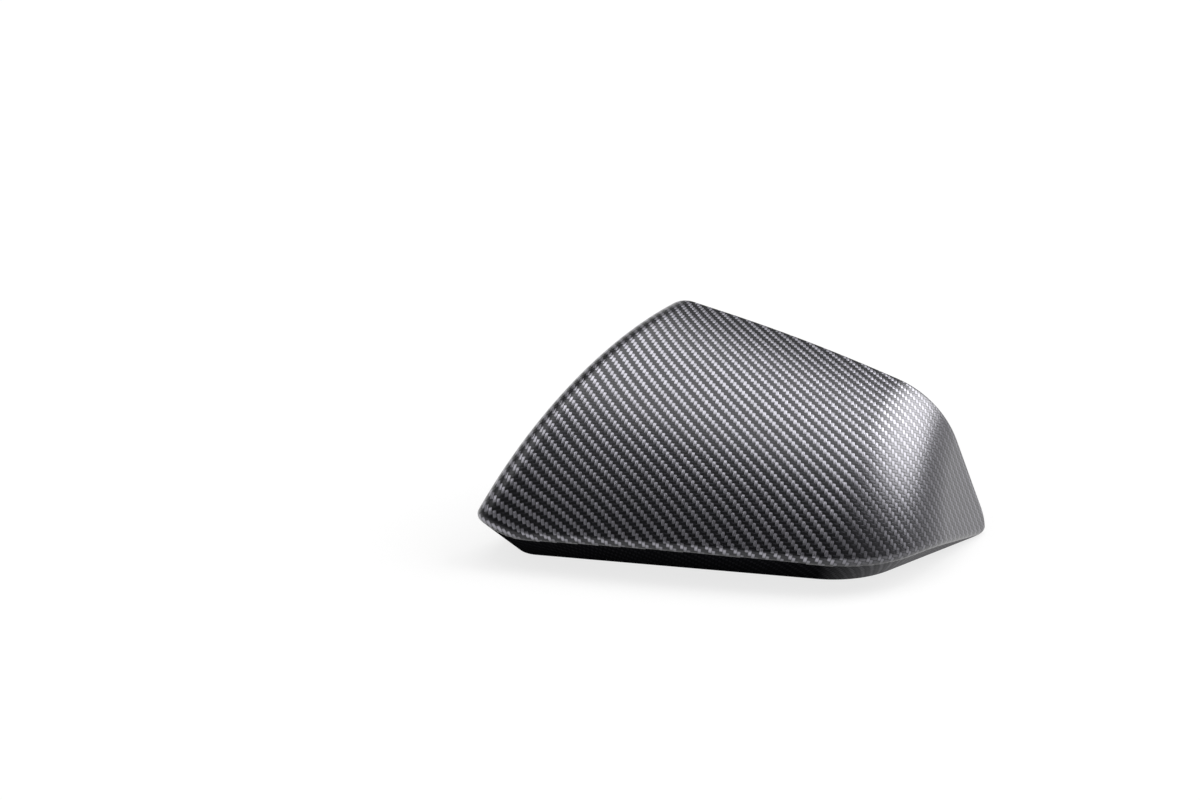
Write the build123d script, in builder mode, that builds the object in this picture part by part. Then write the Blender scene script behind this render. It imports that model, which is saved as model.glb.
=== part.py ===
# Wing mirror cover: a thin moulded shell that is open at the rear and below
import os
from math import asin, atan2, cos, degrees, isclose, radians, sin, sqrt, tan

from build123d import *

# Driving dimensions, in millimetres and degrees
# While the form is built, the rear rim stands in the plane Y = 0 and the lower rim lies in the plane Z = 0
wall = 1.6                  # shell thickness
rear_span = 148.0           # between the two sharp roof corners in the rear plane
rear_left_height = 106.0    # sharp roof corner over the flat end wall
rear_right_height = 68.0    # sharp roof corner over the sloping end wall
low_edge_setback = 112.6    # from the rear plane to the front of the lower rim, at X = 0
low_edge_angle = 13.0       # the low edge seen from above, from the rear plane
crease_height = 15.5        # where the roof folds under, above the lower rim
crease_round = 4.0          # rolled edge along that fold
undercut_angle = 45.0       # lean of the band below the fold, from upright
roof_radius = 185.0         # curve of the roof from the low edge to the rear rim
roof_crown = 900.0          # much flatter curve of the roof along the low edge
crown_share = 0.85          # share of the roof's free width that this crown takes up

flat_lean_angle = 10.0      # flat end wall, from upright
flat_turn_angle = 74.4      # the same wall seen from above, from the rear plane
flat_fold_rear = 15.0       # fold from the roof into that wall, at the rear rim
flat_fold_front = 12.0      # and at the low edge
slope_lean_angle = 24.0     # sloping end wall, from upright
slope_turn_angle = 80.0     # the same wall seen from above
slope_bend_rear = 52.0      # soft bend from the roof into that wall, at the rear rim
slope_bend_front = 85.0     # and at the low edge

rim_left_x = -39.0          # sharp corner of the lower rim under the flat end wall
rim_left_angle = 82.0       # lower rim under the flat end wall, seen from above
rim_left_round = 12.0       # rounding of that corner
rim_right_angle = 59.5      # lower rim under the sloping end wall, seen from above
rim_right_round = 46.0      # rounding between the low edge and the sloping end
trim_round = 12.0           # corners where the rear rim meets the lower rim

section_count = 6           # stations of the loft
overrun = 3 * wall          # the form runs this far past both rims before it is trimmed
tolerance = 0.01            # for picking faces and edges
flat_share = 2 - sqrt(2)    # leg of a flat that is as deep as an arc of unit radius, on a square edge

# Hinge line that every station turns about, where the plane of the undercut band meets the rear plane
low_edge = Vector(cos(radians(low_edge_angle)), sin(radians(low_edge_angle)))
low_edge_out = Vector(low_edge.Y, -low_edge.X)
low_edge_start = Vector(0, -low_edge_setback)


def hinge_point(x):
    """Point of the hinge line at X = x."""
    inset = (low_edge_start - Vector(x, 0)).dot(low_edge_out)
    return Vector(x, 0, -inset / tan(radians(undercut_angle)))


hinge = hinge_point(0)
hinge_dir = (hinge_point(rear_span) - hinge).normalized()
rear_up = Vector(-hinge_dir.Z, 0, hinge_dir.X)
to_front = Vector(0, -1, 0)
to_band = low_edge_start - hinge
band_turn = degrees(atan2(to_band.dot(to_front), to_band.dot(rear_up)))
first_turn = -degrees(asin(overrun / -hinge_point(rear_span).Z))
last_turn = band_turn * 4 / 3
station_foot = -hinge.Z / 5


def station_up(turn):
    """Direction away from the hinge line in the station at this turn from the rear plane."""
    return rear_up * cos(radians(turn)) + to_front * sin(radians(turn))


def station_plane(turn):
    """Plane of a station, with X along the hinge line and Y away from it."""
    return Plane(hinge, x_dir=hinge_dir, z_dir=hinge_dir.cross(station_up(turn)))


def end_wall(rear_corner, turn, lean):
    """Normal and distance of an end wall; a positive lean runs the wall out to the right as it drops."""
    along = Vector(cos(radians(turn)), sin(radians(turn)))
    rise = Vector(-tan(radians(lean)), 0, 1)
    normal = along.cross(rise).normalized()
    return normal, normal.dot(rear_corner)


left_corner = Vector(0, 0, rear_left_height)
right_corner = Vector(rear_span, 0, rear_right_height)
flat_wall = end_wall(left_corner, flat_turn_angle, -flat_lean_angle)
slope_wall = end_wall(right_corner, slope_turn_angle, slope_lean_angle)


def roof_arc(rear_corner):
    """Place along the hinge line and centre of the roof's arc through a rear corner and the crease."""
    place = (rear_corner - hinge).dot(hinge_dir)
    foot = hinge + hinge_dir * place
    crease_reach = (crease_height - foot.Z) / station_up(band_turn).Z
    rear = Vector(0, (rear_corner - foot).dot(rear_up))
    crease = Vector(sin(radians(band_turn)), cos(radians(band_turn))) * crease_reach
    chord = crease - rear
    inward = Vector(chord.Y, -chord.X).normalized()
    drop = sqrt(roof_radius**2 - chord.length**2 / 4)
    return place, (rear + crease) * 0.5 + inward * drop


def roof_reach(centre, turn):
    """Distance of the roof from the hinge line at this turn."""
    ray = Vector(sin(radians(turn)), cos(radians(turn)))
    near = centre.dot(ray)
    return near + sqrt(near**2 + roof_radius**2 - centre.dot(centre))


def tangent_run(before, corner, after, radius):
    """Length that an arc of this radius takes off each side of a corner."""
    opening = (before - corner).get_angle(after - corner)
    return radius / tan(radians(opening / 2))


def station_profile(turn):
    """Corners of one station in its own plane, and the radii of its fold, crown and bend."""
    up = station_up(turn)
    left_place, left_centre = roof_arc(left_corner)
    right_place, right_centre = roof_arc(right_corner)
    left_reach = roof_reach(left_centre, turn)
    slope = (roof_reach(right_centre, turn) - left_reach) / (right_place - left_place)
    base = left_reach - slope * left_place

    def on_wall(end, reach, gain=0.0):
        normal, distance = end
        level = distance - normal.dot(hinge) - normal.dot(up) * reach
        place = level / (normal.dot(hinge_dir) + normal.dot(up) * gain)
        return Vector(place, reach + gain * place)

    flat_corner = on_wall(flat_wall, base, slope)
    slope_corner = on_wall(slope_wall, base, slope)
    flat_foot = on_wall(flat_wall, station_foot)
    slope_foot = on_wall(slope_wall, station_foot)

    share = turn / band_turn
    fold = flat_fold_rear + (flat_fold_front - flat_fold_rear) * share
    bend = slope_bend_rear + (slope_bend_front - slope_bend_rear) * share

    half = (slope_corner - flat_corner) * 0.5
    free = half.length - max(
        tangent_run(flat_foot, flat_corner, slope_corner, fold),
        tangent_run(flat_corner, slope_corner, slope_foot, bend),
    )
    rise = half.length * crown_share * free / roof_crown
    middle = flat_corner + half + Vector(-half.Y, half.X).normalized() * rise
    return [flat_foot, flat_corner, middle, slope_corner, slope_foot], [fold, roof_crown, bend]


# Sharp corners of the lower rim's outline, which runs on well behind the rear plane
rim_rear = rear_left_height
rim_left = Vector(cos(radians(rim_left_angle)), sin(radians(rim_left_angle)))
rim_right = Vector(cos(radians(rim_right_angle)), sin(radians(rim_right_angle)))
rim_right_out = Vector(rim_right.Y, -rim_right.X)
slope_wall_foot = Vector(slope_wall[1] / slope_wall[0].X, 0)
front_left = low_edge_start + low_edge * (rim_left_x / low_edge.X)
low_edge_run = (slope_wall_foot - front_left).dot(rim_right_out) / low_edge.dot(rim_right_out)
front_right = front_left + low_edge * low_edge_run
rear_right = slope_wall_foot + rim_right * (rim_rear / rim_right.Y)
rear_left = front_left + rim_left * ((rim_rear - front_left.Y) / rim_left.Y)


def cover_form(inset):
    """Closed form of the cover with every face moved in by inset, running past both rims."""
    with BuildPart() as form:
        # Roof and end walls
        for station in range(section_count):
            turn = first_turn + (last_turn - first_turn) * station / (section_count - 1)
            corners, radii = station_profile(turn)
            with BuildSketch(station_plane(turn)):
                with BuildLine():
                    FilletPolyline(*corners, radius=radii)
                    Line(corners[-1], corners[0])
                make_face()
                if inset:
                    offset(amount=-inset)
        loft()

        # Undercut band: only what stands within a skirt that widens upwards is kept
        skirt_step = overrun * tan(radians(undercut_angle)) + inset / cos(radians(undercut_angle))
        with BuildSketch(Plane.XY.offset(-overrun)):
            with BuildLine():
                FilletPolyline(
                    front_left, front_right, rear_right, rear_left,
                    radius=[rim_left_round, rim_right_round, 0, 0], close=True,
                )
            make_face()
            offset(amount=-skirt_step)
        extrude(amount=rear_left_height + overrun, taper=-undercut_angle, mode=Mode.INTERSECT)

        # Rolled edge all along the top of that band; inside, a flat of the same depth backs it
        band_fall = -sin(radians(undercut_angle))
        band = form.faces().filter_by(lambda face: isclose(face.normal_at().Z, band_fall, abs_tol=tolerance))
        band_edges = band.edges()
        rear_cap = station_plane(first_turn)
        crease = band_edges.filter_by(
            lambda edge: band_edges.count(edge) == 1
            and (edge @ 0.5).Z > tolerance - overrun
            and abs(rear_cap.to_local_coords(edge @ 0.5).Z) > tolerance
        )
        if inset:
            chamfer(crease, length=(crease_round - inset) * flat_share)
        else:
            fillet(crease, radius=crease_round)
    return form.part


outer_form = cover_form(0)
inner_form = cover_form(wall)

with BuildPart() as shell:
    add(outer_form)
    # Trim to the two rims, with rounded corners between them
    trim_front = -2 * low_edge_setback
    trim_top = 2 * rear_left_height
    with BuildSketch(Plane.YZ.offset(-rear_span)):
        with BuildLine():
            FilletPolyline((trim_front, 0), (0, 0), (0, trim_top), radius=[trim_round])
            Polyline((0, trim_top), (trim_front, trim_top), (trim_front, 0))
        make_face()
    extrude(amount=3 * rear_span, mode=Mode.INTERSECT)
    add(inner_form, mode=Mode.SUBTRACT)

# The finished cover stands on its lower rim, with the origin below the middle of its outline
skin_points = shell.part.tessellate(tolerance)[0]
xs, ys, zs = zip(*skin_points)
middle = Vector((min(xs) + max(xs)) / 2, (min(ys) + max(ys)) / 2)
with BuildPart() as mirror_cover:
    with Locations(-middle):
        add(shell.part)

os.makedirs("parts", exist_ok=True)
mirror_cover.part.label = "mirror_cover"
export_step(mirror_cover.part, "parts/mirror_cover.step")
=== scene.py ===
# Wing mirror cover in carbon twill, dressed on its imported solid
from math import radians, sin

import bpy
import numpy as np
from bpy.props import FloatProperty, FloatVectorProperty, PointerProperty
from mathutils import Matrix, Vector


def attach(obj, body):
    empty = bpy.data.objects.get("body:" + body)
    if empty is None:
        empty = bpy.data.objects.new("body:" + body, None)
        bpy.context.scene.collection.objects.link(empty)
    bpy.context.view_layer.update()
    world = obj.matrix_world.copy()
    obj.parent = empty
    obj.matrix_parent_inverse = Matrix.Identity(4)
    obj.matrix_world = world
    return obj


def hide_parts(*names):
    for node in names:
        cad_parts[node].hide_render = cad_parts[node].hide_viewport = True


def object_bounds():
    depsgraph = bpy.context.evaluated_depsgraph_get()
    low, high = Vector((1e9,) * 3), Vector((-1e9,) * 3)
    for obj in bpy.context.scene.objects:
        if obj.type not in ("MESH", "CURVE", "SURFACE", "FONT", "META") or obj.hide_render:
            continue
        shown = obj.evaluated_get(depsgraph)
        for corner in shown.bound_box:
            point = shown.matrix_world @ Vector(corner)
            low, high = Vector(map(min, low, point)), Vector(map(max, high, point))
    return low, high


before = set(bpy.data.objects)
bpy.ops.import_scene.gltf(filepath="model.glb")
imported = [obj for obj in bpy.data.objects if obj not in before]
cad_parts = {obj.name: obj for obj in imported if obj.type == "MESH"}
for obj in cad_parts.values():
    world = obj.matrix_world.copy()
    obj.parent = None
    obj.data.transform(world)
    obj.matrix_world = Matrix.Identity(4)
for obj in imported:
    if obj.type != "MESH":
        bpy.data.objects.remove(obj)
CAD_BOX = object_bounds()

bl_info = {
    "name": "Wing Mirror Cover",
    "version": (1, 0, 0),
    "blender": (4, 5, 0),
    "location": "3D View > Sidebar > Mirror Cover",
    "description": "Builds a carbon-twill wing mirror cover and its studio stage",
    "category": "Object",
}

NODE = "mirror_cover"
WEAVE_MAP = "weave"
WHITE = (1.0, 1.0, 1.0, 1.0)
RIGHT_ANGLE = radians(90.0)

# Material slots of the shell, in the order in which its materials are added
OUTER, INNER, EDGE, UNDERSIDE = range(4)
BAND_MARGIN = 0.9           # share of the band's own lean from which a face counts as its underside, which is painted in shade

# Two-by-two twill, counted in tows
REPEAT = 4.0                # tows in one repeat of the weave
OVER = 2.0                  # tows that each tow runs over, and then under
SWELL_POWERS = (4.0, 2.0)   # how squarely a tow's height falls off to its sides and to its ends
FACE_POWERS = (5.0, 5.0)    # the same for the part of the tow that shows its colour
FIBRES_ACROSS = 14.0        # streaks to a tow's width
FIBRES_ALONG = 0.7          # streaks to the same length along it
FIBRE_DETAIL = 2.0
FIBRE_SHADE = (0.7, 0.65)   # gain and base of the streaks' brightness
FLOAT_SHADE = (0.3, 0.85)   # gain and base of each float's own brightness

# How the weave changes over the form, by the parts of the direction that the surface faces: painted light
# and shade in its colours, and its relief
FOLD_FACING = -0.55         # X past which the flat wall's tows even out
BEND_FACING = 0.28          # X past which the sloping wall's tows do
EVEN_OUT = (0.0, 0.24)      # where that starts and ends, past either of them
EVEN_SHARE = 0.7            # how far the tows even out to one grey, painted as if both sets were lit alike
TOW_RELIEF = (0.8, 0.3)     # strength of the tows' relief on the roof and on the end walls
ROLL_UNDER = (-0.7, 0.1)    # Z over which the tows fade into painted shade where the roof rolls under
ROLL_SHADE = 0.12           # what is left of them there
BAND_TURN = (0.17, 0.55)    # X over which the underside's painted shade gives way towards the sloping end
BAND_SHINE = 0.9            # how far it takes on that end's paler colour and shine

LAMINATE_PALER = 1.8        # tows that just show in bare laminate, times its colour
EDGE_PALER = 2.2            # pale grain of the cut edge, times its colour
EDGE_GRAIN = 900.0
EDGE_DETAIL = 3.0
TOW_HEIGHT = 0.00018        # reliefs, in metres
BARE_HEIGHT = 0.0001
EDGE_HEIGHT = 0.0001


def length(name, default, description):
    """A length in metres."""
    return FloatProperty(
        name=name, default=default, description=description, subtype="DISTANCE", unit="LENGTH"
    )


def angle(name, degrees, description):
    """An angle, given in degrees and kept in radians."""
    return FloatProperty(
        name=name, default=radians(degrees), description=description, subtype="ANGLE", unit="ROTATION"
    )


def share(name, default, description):
    """A plain factor."""
    return FloatProperty(name=name, default=default, description=description, subtype="FACTOR")


def strength(name, default, description):
    """The strength of a light."""
    return FloatProperty(name=name, default=default, description=description, min=0.0)


def colour(name, default, description):
    """A scene-linear colour."""
    return FloatVectorProperty(
        name=name, default=default, description=description, subtype="COLOR", size=3, min=0, max=1
    )


class CoverSizes(bpy.types.PropertyGroup):
    """Sizes of the moulded shell, measured with the rear rim in Y = 0 and the lower rim in Z = 0."""

    wall: length("Wall", 0.0016, "Shell thickness")
    rear_span: length("Rear span", 0.148, "Between the two sharp roof corners in the rear plane")
    rear_left_height: length("Rear left height", 0.106, "Sharp roof corner over the flat end wall")
    rear_right_height: length("Rear right height", 0.068, "Sharp roof corner over the sloping end wall")
    low_edge_setback: length("Low edge setback", 0.1126, "From the rear plane to the front of the lower rim")
    low_edge_angle: angle("Low edge angle", 13.0, "The low edge seen from above, from the rear plane")
    crease_height: length("Crease height", 0.0155, "Where the roof folds under, above the lower rim")
    crease_round: length("Crease round", 0.004, "Rolled edge along that fold")
    undercut: angle("Undercut", 45.0, "Lean of the band below the fold, from upright")
    roof_radius: length("Roof radius", 0.185, "Curve of the roof from the low edge to the rear rim")
    roof_crown: length("Roof crown", 0.9, "Much flatter curve of the roof along the low edge")
    crown_share: share("Crown share", 0.85, "Share of the roof's free width that the crown takes up")
    flat_lean: angle("Flat wall lean", 10.0, "Flat end wall, from upright")
    flat_turn: angle("Flat wall turn", 74.4, "Flat end wall seen from above, from the rear plane")
    flat_fold_rear: length("Fold at the rear", 0.015, "Fold into the flat wall, at the rear rim")
    flat_fold_front: length("Fold at the front", 0.012, "The same fold at the low edge")
    slope_lean: angle("Sloping wall lean", 24.0, "Sloping end wall, from upright")
    slope_turn: angle("Sloping wall turn", 80.0, "Sloping end wall seen from above")
    slope_bend_rear: length("Bend at the rear", 0.052, "Bend into the sloping wall, at the rear rim")
    slope_bend_front: length("Bend at the front", 0.085, "The same bend at the low edge")
    rim_left_x: length("Rim corner", -0.039, "Sharp corner of the lower rim under the flat wall")
    rim_left_turn: angle("Left rim turn", 82.0, "Lower rim under the flat wall, seen from above")
    rim_left_round: length("Left rim round", 0.012, "Rounding of that corner")
    rim_right_turn: angle("Right rim turn", 59.5, "Lower rim under the sloping wall, seen from above")
    rim_right_round: length("Right rim round", 0.046, "Rounding between the low edge and the sloping end")
    trim_round: length("Trim round", 0.012, "Corners where the rear rim meets the lower rim")
    edge_ease: length("Edge ease", 0.0003, "Softening of the cut edges of both rims")


class CoverFinish(bpy.types.PropertyGroup):
    """Carbon twill and bare laminate, some of whose colours are painted sheen and painted shade."""

    tow: length("Tow width", 0.00167, "Width of one tow of the cloth")
    weave_turn: angle("Weave turn", 7.0, "Turn of the cloth on the roof, from the rear rim")
    # The weave's pattern, one fibre in two colours: a painted sheen on the upright tows and painted shade on
    # those that cross them
    sheen_tow: colour("Bright tow", (0.335, 0.327, 0.370), "Tows whose fibres face the light")
    shaded_tow: colour("Dark tow", (0.017, 0.017, 0.021), "Tows that cross them")
    # Painted light: on the end walls both sets of tows are made this one grey, as if lit alike
    side_tow: colour("Side tow", (0.125, 0.122, 0.137), "Tows on the end walls, which are lit alike")
    gap: colour("Gap", (0.003, 0.003, 0.004), "Resin between the tows")
    inside: colour("Inside", (0.032, 0.032, 0.034), "Inner face of the laminate")
    # Painted shade: the band below the rolled edge is made near black, and paler under the sloping end
    underside: colour("Underside", (0.014, 0.014, 0.016), "Band below the rolled edge")
    side_underside: colour("Side underside", (0.085, 0.084, 0.090), "The same band under the sloping end")
    cut_edge: colour("Cut edge", (0.012, 0.012, 0.013), "Trimmed edge of the laminate")


class StageLook(bpy.types.PropertyGroup):
    """Camera, floor and lights."""

    lens: FloatProperty(name="Lens", default=39.0, description="Focal length", subtype="DISTANCE_CAMERA")
    camera_place: FloatVectorProperty(
        name="Camera place", default=(0.1732, -0.5638, 0.290), description="Where the camera stands",
        subtype="TRANSLATION", unit="LENGTH",
    )
    camera_pitch: angle("Camera pitch", 20.0, "How far the camera looks down")
    camera_heading: angle("Camera heading", 23.6, "How far the camera is turned from +Y towards -X")
    floor: colour("Floor", (0.21, 0.21, 0.21), "Paper that the cover lies on")
    key_strength: strength("Key", 2.15, "Light from behind the sloping end")
    key_width: angle("Key width", 38.0, "How wide that light looks from the cover")
    key_heading: angle("Key heading", 48.0, "Where that light stands, from +Y towards +X")
    key_height: angle("Key height", 43.0, "How high that light stands")
    top_strength: strength("Top", 1.25, "Light from overhead, a little to the rear")
    top_width: angle("Top width", 46.0, "How wide that light looks from the cover")
    top_heading: angle("Top heading", -15.0, "Where that light stands, from +Y towards +X")
    top_height: angle("Top height", 77.0, "How high that light stands")
    left_strength: strength("Left", 0.68, "Light from over the flat end")
    left_width: angle("Left width", 44.0, "How wide that light looks from the cover")
    left_heading: angle("Left heading", -113.0, "Where that light stands, from +Y towards +X")
    left_height: angle("Left height", 56.0, "How high that light stands")
    wall_strength: strength("Walls", 1.0, "White walls of the studio, low all round")
    wall_top: angle("Top of the walls", 6.0, "How high the walls stay white")
    ceiling_strength: strength("Ceiling", 0.04, "Dim ceiling of the studio")
    ceiling_edge: angle("Edge of the ceiling", 27.0, "Where the walls have faded into the ceiling")


class CoverForm:
    """The cover's closed form, as the depth of any point under its faces, negative inside."""

    PROBE = 1e-5    # step in metres over which the growth of a depth is taken

    def __init__(self, sizes):
        self.s = sizes
        self.low_edge = self.flat_direction(sizes.low_edge_angle)
        self.low_edge_out = self.right_of(self.low_edge)
        self.low_edge_start = np.array([0.0, -sizes.low_edge_setback, 0.0])
        self.hinge = self.hinge_point(0.0)
        along = self.hinge_point(sizes.rear_span) - self.hinge
        self.hinge_dir = along / np.linalg.norm(along)
        self.rear_up = np.array([-self.hinge_dir[2], 0.0, self.hinge_dir[0]])
        self.to_front = np.array([0.0, -1.0, 0.0])
        to_band = self.low_edge_start - self.hinge
        self.band_turn = np.arctan2(to_band @ self.to_front, to_band @ self.rear_up)
        self.left_corner = np.array([0.0, 0.0, sizes.rear_left_height])
        self.right_corner = np.array([sizes.rear_span, 0.0, sizes.rear_right_height])
        self.flat_wall = self.end_wall(self.left_corner, sizes.flat_turn, -sizes.flat_lean)
        self.slope_wall = self.end_wall(self.right_corner, sizes.slope_turn, sizes.slope_lean)
        self.left_roof = self.roof_arc(self.left_corner)
        self.right_roof = self.roof_arc(self.right_corner)
        self.set_rim()

    @staticmethod
    def flat_direction(turn):
        """Level direction at a turn from +X towards +Y."""
        return np.array([np.cos(turn), np.sin(turn), 0.0])

    @staticmethod
    def right_of(v):
        """Level direction to the right of another, seen from above."""
        return np.array([v[1], -v[0], 0.0])

    def hinge_point(self, x):
        """Point, at X = x, of the line where the undercut band's plane meets the rear plane."""
        inset = (self.low_edge_start - np.array([x, 0.0, 0.0])) @ self.low_edge_out
        return np.array([x, 0.0, -inset / np.tan(self.s.undercut)])

    def end_wall(self, corner, turn, lean):
        """Normal and distance of an end wall through a rear corner."""
        normal = np.cross(self.flat_direction(turn), np.array([-np.tan(lean), 0.0, 1.0]))
        normal /= np.linalg.norm(normal)
        return normal, normal @ corner

    def roof_arc(self, corner):
        """Place along the hinge line and centre of the roof's arc through a rear corner and the crease."""
        place = (corner - self.hinge) @ self.hinge_dir
        foot = self.hinge + self.hinge_dir * place
        band_up = self.rear_up * np.cos(self.band_turn) + self.to_front * np.sin(self.band_turn)
        rear = np.array([0.0, (corner - foot) @ self.rear_up])
        ray = np.array([np.sin(self.band_turn), np.cos(self.band_turn)])
        crease = ray * (self.s.crease_height - foot[2]) / band_up[2]
        chord = crease - rear
        inward = np.array([chord[1], -chord[0]]) / np.linalg.norm(chord)
        drop = np.sqrt(self.s.roof_radius**2 - chord @ chord / 4)
        return place, (rear + crease) / 2 + inward * drop

    def roof_reach(self, centre, turn):
        """Distance of the roof from the hinge line at each turn."""
        near = centre[0] * np.sin(turn) + centre[1] * np.cos(turn)
        return near + np.sqrt(near**2 + self.s.roof_radius**2 - centre @ centre)

    def set_rim(self):
        """Sides and corners of the lower rim, seen from above."""
        s = self.s
        left = self.flat_direction(s.rim_left_turn)
        right = self.flat_direction(s.rim_right_turn)
        right_out = self.right_of(right)
        wall_foot = np.array([self.slope_wall[1] / self.slope_wall[0][0], 0.0, 0.0])
        front_left = self.low_edge_start + self.low_edge * (s.rim_left_x / self.low_edge[0])
        run = (wall_foot - front_left) @ right_out / (self.low_edge @ right_out)
        self.rim_out = [-self.right_of(left)[:2], self.low_edge_out[:2], right_out[:2]]
        self.front_left = front_left[:2]
        self.front_right = (front_left + self.low_edge * run)[:2]

    @staticmethod
    def unit(v):
        """Flat directions with unit length."""
        return v / np.hypot(v[0], v[1])

    def normal_of(self, run):
        """Upward unit normal of runs along the hinge line."""
        return self.unit(np.array([-run[1], run[0]]))

    @staticmethod
    def round_corner(depth, p, corner, n1, n2, radius):
        """Depth under an arc instead of a sharp corner, between the normals of the corner's two sides."""
        centre = corner - (n1 + n2) * radius / (1 + (n1 * n2).sum(axis=0))
        v = p - centre
        side = np.sign(n1[0] * n2[1] - n1[1] * n2[0])
        after = (n1[0] * v[1] - n1[1] * v[0]) * side > 0
        before = (v[0] * n2[1] - v[1] * n2[0]) * side > 0
        return np.where(after & before, np.hypot(v[0], v[1]) - radius, depth)

    def roof_depth(self, points):
        """Depth under the roof, its fold and bend, and the two end walls."""
        s = self.s
        q = points - self.hinge
        front = q @ self.to_front
        up = q @ self.rear_up
        turn = np.arctan2(front, up)
        p = np.array([q @ self.hinge_dir, np.hypot(front, up)])
        station_up = np.outer(np.cos(turn), self.rear_up) + np.outer(np.sin(turn), self.to_front)
        left_reach = self.roof_reach(self.left_roof[1], turn)
        rise = self.roof_reach(self.right_roof[1], turn) - left_reach
        slope = rise / (self.right_roof[0] - self.left_roof[0])
        base = left_reach - slope * self.left_roof[0]

        def corner_on(wall):
            normal, distance = wall
            level = distance - normal @ self.hinge - station_up @ normal * base
            place = level / (normal @ self.hinge_dir + station_up @ normal * slope)
            return np.array([place, base + slope * place])

        def wall_normal(wall):
            normal = wall[0]
            return self.unit(np.array([np.full_like(turn, normal @ self.hinge_dir), station_up @ normal]))

        def tangent_run(n1, n2, radius):
            dot = (n1 * n2).sum(axis=0)
            return radius * np.sqrt((1 - dot) / (1 + dot))

        def under(n, corner):
            return (n * (p - corner)).sum(axis=0)

        flat_corner = corner_on(self.flat_wall)
        slope_corner = corner_on(self.slope_wall)
        n_flat = -wall_normal(self.flat_wall)
        n_slope = wall_normal(self.slope_wall)
        low = turn / self.band_turn
        fold = s.flat_fold_rear + (s.flat_fold_front - s.flat_fold_rear) * low
        bend = s.slope_bend_rear + (s.slope_bend_front - s.slope_bend_rear) * low
        half = (slope_corner - flat_corner) / 2
        half_length = np.hypot(half[0], half[1])
        n_roof = self.normal_of(half)
        taken = np.maximum(tangent_run(n_flat, n_roof, fold), tangent_run(n_roof, n_slope, bend))
        crown = half_length * s.crown_share * (half_length - taken) / s.roof_crown
        middle = flat_corner + half + n_roof * crown
        n_left = self.normal_of(middle - flat_corner)
        n_right = self.normal_of(slope_corner - middle)
        sides = [under(n_flat, flat_corner), under(n_left, middle), under(n_right, middle)]
        depth = np.maximum.reduce(sides + [under(n_slope, slope_corner)])
        depth = self.round_corner(depth, p, middle, n_left, n_right, s.roof_crown)
        depth = self.round_corner(depth, p, flat_corner, n_flat, n_left, fold)
        return self.round_corner(depth, p, slope_corner, n_right, n_slope, bend)

    def skirt_depth(self, points):
        """Depth inside the skirt that widens upwards and carries the undercut band."""
        s = self.s
        p = points[:, :2].T
        corners = [self.front_left, self.front_left, self.front_right]
        sides = [n @ (p - corner[:, None]) for n, corner in zip(self.rim_out, corners)]
        left, front, right = [n[:, None] for n in self.rim_out]
        depth = np.maximum.reduce(sides)
        depth = self.round_corner(depth, p, self.front_left[:, None], left, front, s.rim_left_round)
        depth = self.round_corner(depth, p, self.front_right[:, None], front, right, s.rim_right_round)
        return depth * np.cos(s.undercut) - points[:, 2] * np.sin(s.undercut)

    def growth(self, depth, points):
        """Unit direction in which a depth grows."""
        here = depth(points)
        slopes = np.array([depth(points + self.PROBE * axis) - here for axis in np.eye(3)]).T
        return slopes / np.linalg.norm(slopes, axis=1, keepdims=True)

    def depth(self, points):
        """Depth under the whole form, with a rolled edge where the roof and walls meet the band."""
        r = self.s.crease_round
        under_roof = self.roof_depth(points)
        in_skirt = self.skirt_depth(points)
        depth = np.maximum(under_roof, in_skirt)
        near = np.flatnonzero((under_roof > -2 * r) & (in_skirt > -2 * r))
        if len(near):
            by_roof = self.growth(self.roof_depth, points[near])
            by_band = self.growth(self.skirt_depth, points[near])
            lean = (by_roof * by_band).sum(axis=1)
            u = under_roof[near] + r
            v = in_skirt[near] + r
            rolled = np.sqrt((u * u + v * v - 2 * lean * u * v) / (1 - lean**2)) - r
            depth[near] = np.where((u > lean * v) & (v > lean * u), rolled, depth[near])
        return depth

    def trim_depth(self, points):
        """Depth inside both rims, with the rounded corner between them."""
        r = self.s.trim_round
        rear = points[:, 1] + r
        low = r - points[:, 2]
        return np.where((rear > 0) & (low > 0), np.hypot(rear, low), np.maximum(rear, low)) - r

    def ease(self, points):
        """How far the skins draw in where they come to the cut edge of a rim."""
        soft = self.s.edge_ease
        gap = np.clip(-self.trim_depth(points), 0, soft)
        return soft - np.sqrt(soft**2 - (soft - gap) ** 2)


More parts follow.
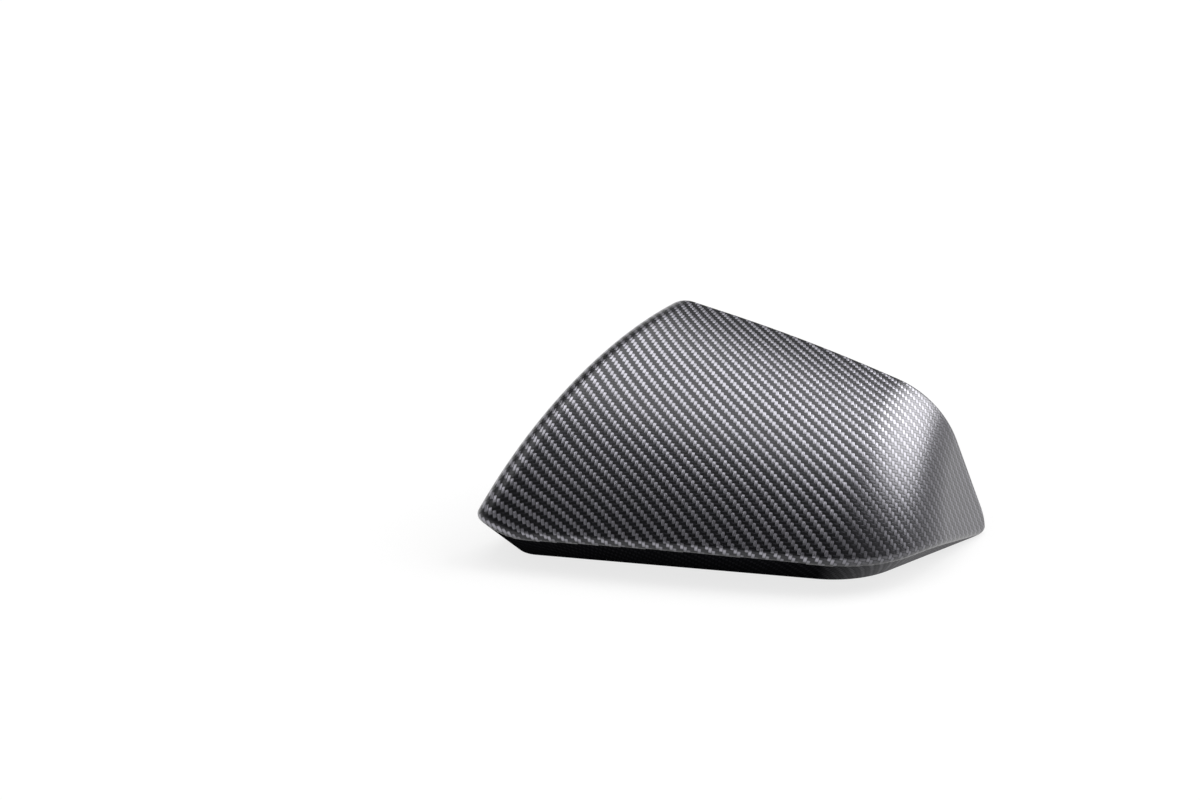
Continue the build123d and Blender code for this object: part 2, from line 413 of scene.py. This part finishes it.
class SkinGrid:
    """Grid of points on a skin of the shell.

    Its rows turn from the rear rim, at 0 degrees, to the lower rim, at 90. Each runs from the foot of the
    flat wall over the roof to the foot of the sloping wall.
    """

    REACH = 0.26                                # metres from the middle that surely lie outside the form
    HALVINGS = 26                               # steps of the search along each ray
    MIDDLE_SHARE = 0.4                          # where the rays start, as a share of the rear span
    EDGE_STEPS = (0.0, 0.00006, 0.00018, 0.0004)    # metres from the ends of a row, for its eased edges
    EDGE_TURNS = (0.0, 0.03, 0.1, 0.2)          # degrees from both rims, for theirs
    ROOF_FROM = 1.0                             # degrees at which the roof's even rows start
    BAND_FROM = 72.0                            # and the closer rows of the rolled edge and the band
    BAND_TO = 89.5
    FULL_TURN = 90.0
    ROOF_ROWS = 58
    BAND_ROWS = 72
    COLUMNS = 232

    def __init__(self, form):
        self.form = form
        self.middle = form.s.rear_span * self.MIDDLE_SHARE
        edge = np.array(self.EDGE_TURNS)
        roof = np.linspace(self.ROOF_FROM, self.BAND_FROM, self.ROOF_ROWS)
        band = np.linspace(self.BAND_FROM, self.BAND_TO, self.BAND_ROWS + 1)[1:]
        self.turns = np.radians(np.concatenate([edge, roof, band, self.FULL_TURN - edge[::-1]]))
        rays = np.tile(np.linspace(np.pi, 0.0, 2 * self.COLUMNS), (len(self.turns), 1))
        self.rays = self.even_rays(rays, self.solve(rays, 0.0))

    def even_rays(self, rays, points):
        """Rays that meet each row at even steps, with short steps at both ends."""
        steps = np.linalg.norm(np.diff(points, axis=1), axis=2)
        run = np.concatenate([np.zeros((len(steps), 1)), np.cumsum(steps, axis=1)], axis=1)
        edge = np.array(self.EDGE_STEPS)
        even = []
        for row_run, row_rays in zip(run, rays):
            inner = np.linspace(edge[-1], row_run[-1] - edge[-1], self.COLUMNS)[1:-1]
            marks = np.concatenate([edge, inner, row_run[-1] - edge[::-1]])
            even.append(np.interp(marks, row_run, row_rays))
        return np.array(even)

    def solve(self, rays, inset):
        """Points where the rays of each row meet the outer skin, or the inner skin at an inset under it."""
        form = self.form
        c = np.cos(self.turns)[:, None]
        s = np.sin(self.turns)[:, None]
        foot = form.s.trim_round * (c + s - np.sqrt((c + s) ** 2 - 1))

        def at(reach):
            out = foot + reach * np.sin(rays)
            return np.stack([self.middle + reach * np.cos(rays), -out * s, out * c], axis=-1)

        low = np.zeros_like(rays)
        high = np.full_like(rays, self.REACH)
        for _ in range(self.HALVINGS):
            half = (low + high) / 2
            points = at(half).reshape(-1, 3)
            drawn_in = form.ease(points)
            level = inset - drawn_in if inset else drawn_in
            inside = (form.depth(points) + level < 0).reshape(rays.shape)
            low = np.where(inside, half, low)
            high = np.where(inside, high, half)
        return at((low + high) / 2)

    def skins(self):
        """Points of the outer and the inner skin, moved to the CAD frame."""
        outer = self.solve(self.rays, 0.0)
        inner = self.solve(self.rays, self.form.s.wall)
        low = outer.reshape(-1, 3).min(axis=0)
        high = outer.reshape(-1, 3).max(axis=0)
        cad_middle = (CAD_BOX[0] + CAD_BOX[1]) / 2
        shift = np.array(cad_middle) - (low + high) / 2
        shift[2] = 0.0
        return outer + shift, inner + shift


def grid_faces(rows, columns, inward):
    """Quads of a grid of vertices numbered row by row, which face out of the shell or into it."""
    number = np.arange(rows * columns).reshape(rows, columns)
    corners = [number[:-1, :-1], number[1:, :-1], number[1:, 1:], number[:-1, 1:]]
    if inward:
        corners.reverse()
    return np.stack(corners, axis=-1).reshape(-1, 4)


def rim_loop(rows, columns):
    """Numbers of a grid's border vertices, once round."""
    number = np.arange(rows * columns).reshape(rows, columns)
    return np.concatenate([number[0, :-1], number[:-1, -1], number[-1, :0:-1], number[:0:-1, 0]])


def shell_faces(rows, columns):
    """Quads of the outer skin, the inner skin and the cut edge between them, with the slot of each."""
    count = rows * columns
    border = rim_loop(rows, columns)
    after = np.roll(border, -1)
    outer = grid_faces(rows, columns, False)
    inner = grid_faces(rows, columns, True) + count
    rim = np.stack([border, after, after + count, border + count], axis=-1)
    slots = np.repeat([OUTER, INNER, EDGE], [len(outer), len(inner), len(rim)])
    return np.concatenate([outer, inner, rim]), slots


# Laying the cloth: the outer skin is laid out flat on every few of its rows and columns
PATTERN_ROWS = 3
PATTERN_COLUMNS = 4
STRETCH_ROUNDS = 20


def lay_flat(points):
    """Lays a grid of points out flat with the least stretch, seen from inside, and returns their places."""
    rows, columns = points.shape[:2]
    mesh = bpy.data.meshes.new("flat_pattern")
    mesh.from_pydata(points.reshape(-1, 3).tolist(), [], grid_faces(rows, columns, True).tolist())
    mesh.uv_layers.new(name="flat")
    pattern = bpy.data.objects.new("flat_pattern", mesh)
    bpy.context.scene.collection.objects.link(pattern)
    bpy.context.view_layer.objects.active = pattern
    pattern.select_set(True)
    bpy.ops.object.mode_set(mode="EDIT")
    bpy.ops.mesh.select_all(action="SELECT")
    bpy.ops.uv.unwrap(method="MINIMUM_STRETCH", iterations=STRETCH_ROUNDS, margin=0.0)
    bpy.ops.object.mode_set(mode="OBJECT")
    corners = np.zeros(len(mesh.loops), dtype=np.int32)
    mesh.loops.foreach_get("vertex_index", corners)
    places = np.zeros(2 * len(mesh.loops), dtype=np.float32)
    mesh.uv_layers["flat"].uv.foreach_get("vector", places)
    flat = np.zeros((rows * columns, 2))
    flat[corners] = places.reshape(-1, 2)
    bpy.data.objects.remove(pattern)
    bpy.data.meshes.remove(mesh)
    return flat.reshape(rows, columns, 2)


def run_along(line):
    """Length from the start of a line of points to each of them."""
    return np.concatenate([[0.0], np.cumsum(np.linalg.norm(np.diff(line, axis=0), axis=1))])


def fill_rows(values, columns, points):
    """Values at every column of a grid, from those at some columns, by the length along each row."""
    full = np.empty(points.shape[:2] + (2,))
    for row, line in enumerate(points):
        run = run_along(line)
        for axis in range(2):
            full[row, :, axis] = np.interp(run, run[columns], values[row, :, axis])
    return full


def some_of(count, step):
    """Every step-th of count numbers, and the last."""
    return np.unique(np.append(np.arange(0, count, step), count - 1))


def weave_places(outer, finish):
    """Place of each point of the outer skin on the cloth, counted in tows across and along it."""
    rows = some_of(outer.shape[0], PATTERN_ROWS)
    columns = some_of(outer.shape[1], PATTERN_COLUMNS)
    known = outer[np.ix_(rows, columns)]
    flat = lay_flat(known)

    # The middle third of one row on the roof gives the pattern's scale and turn
    roof_row = len(rows) // 4
    middle = slice(len(columns) // 3, 2 * len(columns) // 3)
    flat_line = flat[roof_row, middle]
    scale = run_along(known[roof_row, middle])[-1] / run_along(flat_line)[-1]
    across = flat_line[-1] - flat_line[0]
    turn = finish.weave_turn - np.arctan2(across[1], across[0])
    c = np.cos(turn)
    s = np.sin(turn)
    flat = fill_rows(flat, columns, outer[rows])
    flat = fill_rows(flat.swapaxes(0, 1), rows, outer.swapaxes(0, 1)).swapaxes(0, 1)
    return flat @ np.array([[c, s], [-s, c]]) * scale / finish.tow


class FinishGraph:
    """Short ways to add and join the shader nodes of a finish."""

    def __init__(self, name):
        self.material = bpy.data.materials.new(name)
        self.material.use_nodes = True
        self.nodes = self.material.node_tree.nodes
        self.links = self.material.node_tree.links
        self.shader = self.nodes["Principled BSDF"]

    def put(self, value, socket):
        """Links a socket, or sets a constant."""
        if isinstance(value, bpy.types.NodeSocket):
            self.links.new(value, socket)
        else:
            socket.default_value = value

    def math(self, operation, *values):
        """Result of an operation on numbers."""
        node = self.nodes.new("ShaderNodeMath")
        node.operation = operation
        for value, socket in zip(values, node.inputs):
            self.put(value, socket)
        return node.outputs[0]

    def mix(self, factor, first, second, kind="FLOAT"):
        """Blend of two numbers, or of two colours."""
        node = self.nodes.new("ShaderNodeMix")
        node.data_type = kind
        self.put(factor, node.inputs["Factor"])
        self.put(first, node.inputs["A"])
        self.put(second, node.inputs["B"])
        return node.outputs["Result"]

    def blend(self, factor, first, second):
        """Blend of two colours."""
        return self.mix(factor, first, second, "RGBA")

    def split(self, vector):
        """The parts of a vector, by the names of its axes."""
        node = self.nodes.new("ShaderNodeSeparateXYZ")
        self.put(vector, node.inputs["Vector"])
        return node.outputs

    def facing(self):
        """The three parts of the direction that the surface faces."""
        surface = self.nodes.new("ShaderNodeNewGeometry")
        return self.split(surface.outputs["Normal"])

    def ramp(self, value, start, end, low, high):
        """Number that runs from low to high as a value goes from start to end."""
        node = self.nodes.new("ShaderNodeMapRange")
        self.put(value, node.inputs["Value"])
        node.inputs["From Min"].default_value = start
        node.inputs["From Max"].default_value = end
        node.inputs["To Min"].default_value = low
        node.inputs["To Max"].default_value = high
        return node.outputs["Result"]

    def noise(self, vector, scale, detail):
        """Soft noise at a place."""
        node = self.nodes.new("ShaderNodeTexNoise")
        self.put(vector, node.inputs["Vector"])
        node.inputs["Scale"].default_value = scale
        node.inputs["Detail"].default_value = detail
        return node.outputs["Fac"]

    def vector(self, x, y):
        """Place on the cloth, from its two numbers."""
        node = self.nodes.new("ShaderNodeCombineXYZ")
        self.put(x, node.inputs["X"])
        self.put(y, node.inputs["Y"])
        return node.outputs["Vector"]

    def bump(self, height, strength, distance):
        """Normal of a relief."""
        node = self.nodes.new("ShaderNodeBump")
        self.put(strength, node.inputs["Strength"])
        node.inputs["Distance"].default_value = distance
        self.put(height, node.inputs["Height"])
        return node.outputs["Normal"]

    def set(self, **values):
        """Sets or links the main shader's sockets, with underscores for spaces."""
        for name, value in values.items():
            self.put(value, self.shader.inputs[name.replace("_", " ")])


def solid(rgb):
    """A colour with full alpha."""
    return (*rgb, 1.0)


def paler(rgb, times):
    """A colour made paler, with full alpha."""
    return solid(times * part for part in rgb)


def twill(graph):
    """Two-by-two twill: whether the upright tow is on top, the top tow's swell, face and fibres."""
    place = graph.nodes.new("ShaderNodeUVMap")
    place.uv_map = WEAVE_MAP
    on_cloth = graph.split(place.outputs["UV"])
    u = on_cloth["X"]
    v = on_cloth["Y"]
    column = graph.math("FLOOR", u)
    row = graph.math("FLOOR", v)
    phase = graph.math("FLOORED_MODULO", graph.math("SUBTRACT", column, row), REPEAT)
    upright = graph.math("LESS_THAN", phase, OVER)

    # Where the point lies across the top tow, and along it since its last float began
    across = graph.mix(upright, graph.math("FRACT", v), graph.math("FRACT", u))
    since_v = graph.math("ADD", graph.math("SUBTRACT", v, column), 1.0)
    since_u = graph.math("SUBTRACT", graph.math("SUBTRACT", u, row), OVER)
    since = graph.mix(upright, since_u, since_v)
    along = graph.math("FLOORED_MODULO", since, REPEAT)
    off_middle = graph.math("ABSOLUTE", graph.math("MULTIPLY_ADD", across, 2.0, -1.0))
    off_top = graph.math("ABSOLUTE", graph.math("SUBTRACT", along, 1.0))

    def dome(side_power, end_power):
        sides = graph.math("SUBTRACT", 1.0, graph.math("POWER", off_middle, side_power))
        ends = graph.math("SUBTRACT", 1.0, graph.math("POWER", off_top, end_power))
        return graph.math("MULTIPLY", sides, ends)

    # Streaks run along the fibres, and each float has a shade of its own
    u_scale = graph.mix(upright, FIBRES_ALONG, FIBRES_ACROSS)
    v_scale = graph.mix(upright, FIBRES_ACROSS, FIBRES_ALONG)
    streaks = graph.vector(graph.math("MULTIPLY", u, u_scale), graph.math("MULTIPLY", v, v_scale))
    fibres = graph.math("MULTIPLY_ADD", graph.noise(streaks, 1.0, FIBRE_DETAIL), *FIBRE_SHADE)
    tow_number = graph.mix(upright, row, column)
    float_number = graph.math("FLOOR", graph.math("DIVIDE", since, REPEAT))
    chance = graph.nodes.new("ShaderNodeTexWhiteNoise")
    graph.put(graph.vector(tow_number, float_number), chance.inputs["Vector"])
    shade = graph.math("MULTIPLY_ADD", chance.outputs["Value"], *FLOAT_SHADE)
    return upright, dome(*SWELL_POWERS), dome(*FACE_POWERS), graph.math("MULTIPLY", shade, fibres)


def twill_colour(graph, upright, face, fibres, bright, dark, gap):
    """Colour of the cloth, darker in the gaps and streaked along its fibres."""
    tow = graph.blend(upright, dark, bright)
    lit = graph.math("MULTIPLY", face, fibres)
    return graph.blend(lit, gap, tow)


def outer_material(finish):
    """Twill under a satin clear coat."""
    graph = FinishGraph("carbon_twill")
    upright, swell, face, fibres = twill(graph)
    facing = graph.facing()
    # Painted shade: the tows fade to the gap colour where the roof rolls under
    face = graph.math("MULTIPLY", face, graph.ramp(facing["Z"], *ROLL_UNDER, ROLL_SHADE, 1.0))
    # Painted light: past the fold and the bend the tows even out to one grey, as if lit alike
    past_bend = graph.math("SUBTRACT", facing["X"], BEND_FACING)
    past_fold = graph.math("SUBTRACT", FOLD_FACING, facing["X"])
    past_roof = graph.math("MAXIMUM", past_bend, past_fold)
    to_side = graph.ramp(past_roof, *EVEN_OUT, 0.0, EVEN_SHARE)
    relief = graph.ramp(past_roof, *EVEN_OUT, *TOW_RELIEF)
    bright = graph.blend(to_side, solid(finish.sheen_tow), solid(finish.side_tow))
    dark = graph.blend(to_side, solid(finish.shaded_tow), solid(finish.side_tow))
    tangent = graph.nodes.new("ShaderNodeTangent")
    tangent.direction_type = "UV_MAP"
    tangent.uv_map = WEAVE_MAP
    quarter_turn = 0.25
    graph.set(
        Base_Color=twill_colour(graph, upright, face, fibres, bright, dark, solid(finish.gap)),
        Metallic=0.9,
        Roughness=0.31,
        Anisotropic=0.5,
        Anisotropic_Rotation=graph.math("MULTIPLY", upright, quarter_turn),
        Tangent=tangent.outputs["Tangent"],
        Normal=graph.bump(swell, relief, TOW_HEIGHT),
        Coat_Weight=0.58,
        Coat_Roughness=0.29,
        Coat_IOR=1.6,
    )
    return graph.material


def lay_bare(graph, dull, pale, gloss, finish):
    """Bare laminate: dull resin with the cloth just showing."""
    upright, swell, face, fibres = twill(graph)
    graph.set(
        Base_Color=twill_colour(graph, upright, face, fibres, pale, dull, solid(finish.gap)),
        Roughness=0.6,
        Specular_IOR_Level=gloss,
        Normal=graph.bump(swell, 0.5, BARE_HEIGHT),
    )


def inner_material(finish):
    """Bare laminate inside the shell."""
    graph = FinishGraph("bare_laminate")
    pale = paler(finish.inside, LAMINATE_PALER)
    lay_bare(graph, solid(finish.inside), pale, 0.25, finish)
    return graph.material


def underside_material(finish):
    """Bare band below the rolled edge, darkened with painted shade, which grows paler and shinier towards
    the sloping end.
    """
    graph = FinishGraph("bare_underside")
    to_side = graph.ramp(graph.facing()["X"], *BAND_TURN, 0.0, BAND_SHINE)
    front_pale = paler(finish.underside, LAMINATE_PALER)
    side_pale = paler(finish.side_underside, LAMINATE_PALER)
    dull = graph.blend(to_side, solid(finish.underside), solid(finish.side_underside))
    pale = graph.blend(to_side, front_pale, side_pale)
    lay_bare(graph, dull, pale, 0.0, finish)
    graph.set(Metallic=to_side)
    return graph.material


def edge_material(finish):
    """Trimmed edge, with the fine grain of cut fibres."""
    graph = FinishGraph("trimmed_edge")
    place = graph.nodes.new("ShaderNodeTexCoord")
    grain = graph.noise(place.outputs["Object"], EDGE_GRAIN, EDGE_DETAIL)
    pale = paler(finish.cut_edge, EDGE_PALER)
    graph.set(
        Base_Color=graph.blend(grain, solid(finish.cut_edge), pale),
        Roughness=0.55,
        Normal=graph.bump(grain, 0.25, EDGE_HEIGHT),
    )
    return graph.material


class COVER_OT_make_shell(bpy.types.Operator):
    """Build the moulded carbon shell in place of its plain solid"""

    bl_idname = "cover.make_shell"
    bl_label = "Make Shell"

    def execute(self, context):
        sizes = context.scene.cover_sizes
        finish = context.scene.cover_finish
        outer, inner = SkinGrid(CoverForm(sizes)).skins()
        faces, slots = shell_faces(*outer.shape[:2])
        points = np.concatenate([outer.reshape(-1, 3), inner.reshape(-1, 3)])
        mesh = bpy.data.meshes.new("carbon_shell")
        mesh.from_pydata(points.tolist(), [], faces.tolist())
        normals = np.zeros(3 * len(faces), dtype=np.float32)
        mesh.polygons.foreach_get("normal", normals)
        # Faces of the band that face downward get the underside's painted shade
        under = normals[2::3] < -np.sin(sizes.undercut) * BAND_MARGIN
        slots[under & (slots == OUTER)] = UNDERSIDE
        mesh.polygons.foreach_set("material_index", slots.astype(np.int32))
        mesh.polygons.foreach_set("use_smooth", np.ones(len(faces), dtype=bool))
        places = np.tile(weave_places(outer, finish).reshape(-1, 2), (2, 1))
        cloth = mesh.uv_layers.new(name=WEAVE_MAP)
        cloth.uv.foreach_set("vector", places[faces.ravel()].astype(np.float32).ravel())
        for material in (outer_material, inner_material, edge_material, underside_material):
            mesh.materials.append(material(finish))
        mesh.update()
        shell = bpy.data.objects.new("carbon_shell", mesh)
        context.scene.collection.objects.link(shell)
        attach(shell, "root")
        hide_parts(NODE)
        return {"FINISHED"}


def shown_directly(tree):
    """Factor that is 1 for what the camera sees, straight or in a reflection."""
    rays = tree.nodes.new("ShaderNodeLightPath")
    total = rays.outputs["Is Camera Ray"]
    for name in ("Is Glossy Ray", "Is Transmission Ray"):
        most = tree.nodes.new("ShaderNodeMath")
        most.operation = "MAXIMUM"
        tree.links.new(total, most.inputs[0])
        tree.links.new(rays.outputs[name], most.inputs[1])
        total = most.outputs[0]
    return total


class COVER_OT_set_stage(bpy.types.Operator):
    """Lay the white floor, hang the lights and place the camera"""

    bl_idname = "cover.set_stage"
    bl_label = "Set Stage"

    FLOOR_HALF = 40.0       # metres
    FLOOR_LIFT = 0.77       # brings the lit floor up to white where it is seen
    LIGHTS = ("key", "top", "left")
    SENSOR_WIDTH = 36.0     # millimetres
    VIEW_END = 200.0        # metres

    def execute(self, context):
        look = context.scene.cover_stage
        context.scene.view_settings.view_transform = "Standard"
        self.lay_floor(context, look)
        self.set_sky(context, look)
        for name in self.LIGHTS:
            self.hang_light(context, look, name)
        self.place_camera(context, look)
        return {"FINISHED"}

    def lay_floor(self, context, look):
        """Lays the paper, which is lifted to white where it is seen and keeps the cover's shadow."""
        half = self.FLOOR_HALF
        corners = [(-half, -half, 0), (half, -half, 0), (half, half, 0), (-half, half, 0)]
        mesh = bpy.data.meshes.new("paper_floor")
        mesh.from_pydata(corners, [], [(0, 1, 2, 3)])
        paper = bpy.data.materials.new("paper")
        paper.use_nodes = True
        tree = paper.node_tree
        shader = tree.nodes["Principled BSDF"]
        shader.inputs["Base Color"].default_value = solid(look.floor)
        shader.inputs["Roughness"].default_value = 0.9
        shader.inputs["Specular IOR Level"].default_value = 0.1
        shader.inputs["Emission Color"].default_value = WHITE
        lift = tree.nodes.new("ShaderNodeMath")
        lift.operation = "MULTIPLY"
        lift.inputs[1].default_value = self.FLOOR_LIFT
        tree.links.new(shown_directly(tree), lift.inputs[0])
        tree.links.new(lift.outputs[0], shader.inputs["Emission Strength"])
        mesh.materials.append(paper)
        floor = bpy.data.objects.new("paper_floor", mesh)
        context.scene.collection.objects.link(floor)

    def set_sky(self, context, look):
        """White walls low all round, which fade to a dim ceiling."""
        world = bpy.data.worlds.new("studio")
        context.scene.world = world
        world.use_nodes = True
        tree = world.node_tree
        sky = tree.nodes["Background"]
        sky.inputs["Color"].default_value = WHITE
        outward = tree.nodes.new("ShaderNodeTexCoord")
        split = tree.nodes.new("ShaderNodeSeparateXYZ")
        fade = tree.nodes.new("ShaderNodeMapRange")
        fade.inputs["From Min"].default_value = sin(look.wall_top)
        fade.inputs["From Max"].default_value = sin(look.ceiling_edge)
        fade.inputs["To Min"].default_value = look.wall_strength
        fade.inputs["To Max"].default_value = look.ceiling_strength
        tree.links.new(outward.outputs["Generated"], split.inputs["Vector"])
        tree.links.new(split.outputs["Z"], fade.inputs["Value"])
        tree.links.new(fade.outputs["Result"], sky.inputs["Strength"])

    def hang_light(self, context, look, name):
        """Hangs a far, wide light that shines on the cover from its heading and height."""
        light = bpy.data.lights.new(name + "_light", "SUN")
        light.energy = getattr(look, name + "_strength")
        light.angle = getattr(look, name + "_width")
        lamp = bpy.data.objects.new(name + "_light", light)
        from_upright = RIGHT_ANGLE - getattr(look, name + "_height")
        lamp.rotation_euler = (-from_upright, 0.0, -getattr(look, name + "_heading"))
        context.scene.collection.objects.link(lamp)

    def place_camera(self, context, look):
        """Places the camera where the photograph was taken from."""
        camera = bpy.data.cameras.new("photo_camera")
        camera.lens = look.lens
        camera.sensor_width = self.SENSOR_WIDTH
        camera.sensor_fit = "HORIZONTAL"
        camera.clip_end = self.VIEW_END
        eye = bpy.data.objects.new("photo_camera", camera)
        eye.location = look.camera_place
        eye.rotation_euler = (RIGHT_ANGLE - look.camera_pitch, 0.0, look.camera_heading)
        context.scene.collection.objects.link(eye)
        context.scene.camera = eye


class COVER_PT_sidebar(bpy.types.Panel):
    """Sizes, finish and stage of the mirror cover"""

    bl_idname = "COVER_PT_sidebar"
    bl_label = "Mirror Cover"
    bl_space_type = "VIEW_3D"
    bl_region_type = "UI"
    bl_category = "Mirror Cover"

    def draw(self, context):
        column = self.layout.column()
        for group in (context.scene.cover_sizes, context.scene.cover_finish, context.scene.cover_stage):
            for name in group.bl_rna.properties.keys():
                if name not in ("rna_type", "name"):
                    column.prop(group, name)
        column.operator(COVER_OT_make_shell.bl_idname)
        column.operator(COVER_OT_set_stage.bl_idname)


CLASSES = (CoverSizes, CoverFinish, StageLook, COVER_OT_make_shell, COVER_OT_set_stage, COVER_PT_sidebar)


def register():
    """Adds the classes to Blender and their settings to its scenes."""
    for cls in CLASSES:
        bpy.utils.register_class(cls)
    bpy.types.Scene.cover_sizes = PointerProperty(type=CoverSizes)
    bpy.types.Scene.cover_finish = PointerProperty(type=CoverFinish)
    bpy.types.Scene.cover_stage = PointerProperty(type=StageLook)


def unregister():
    """Takes the settings and the classes out again."""
    del bpy.types.Scene.cover_stage
    del bpy.types.Scene.cover_finish
    del bpy.types.Scene.cover_sizes
    for cls in reversed(CLASSES):
        bpy.utils.unregister_class(cls)


def main():
    """Builds the cover and its stage."""
    register()
    bpy.ops.cover.make_shell()
    bpy.ops.cover.set_stage()


if __name__ == "__main__":
    main()
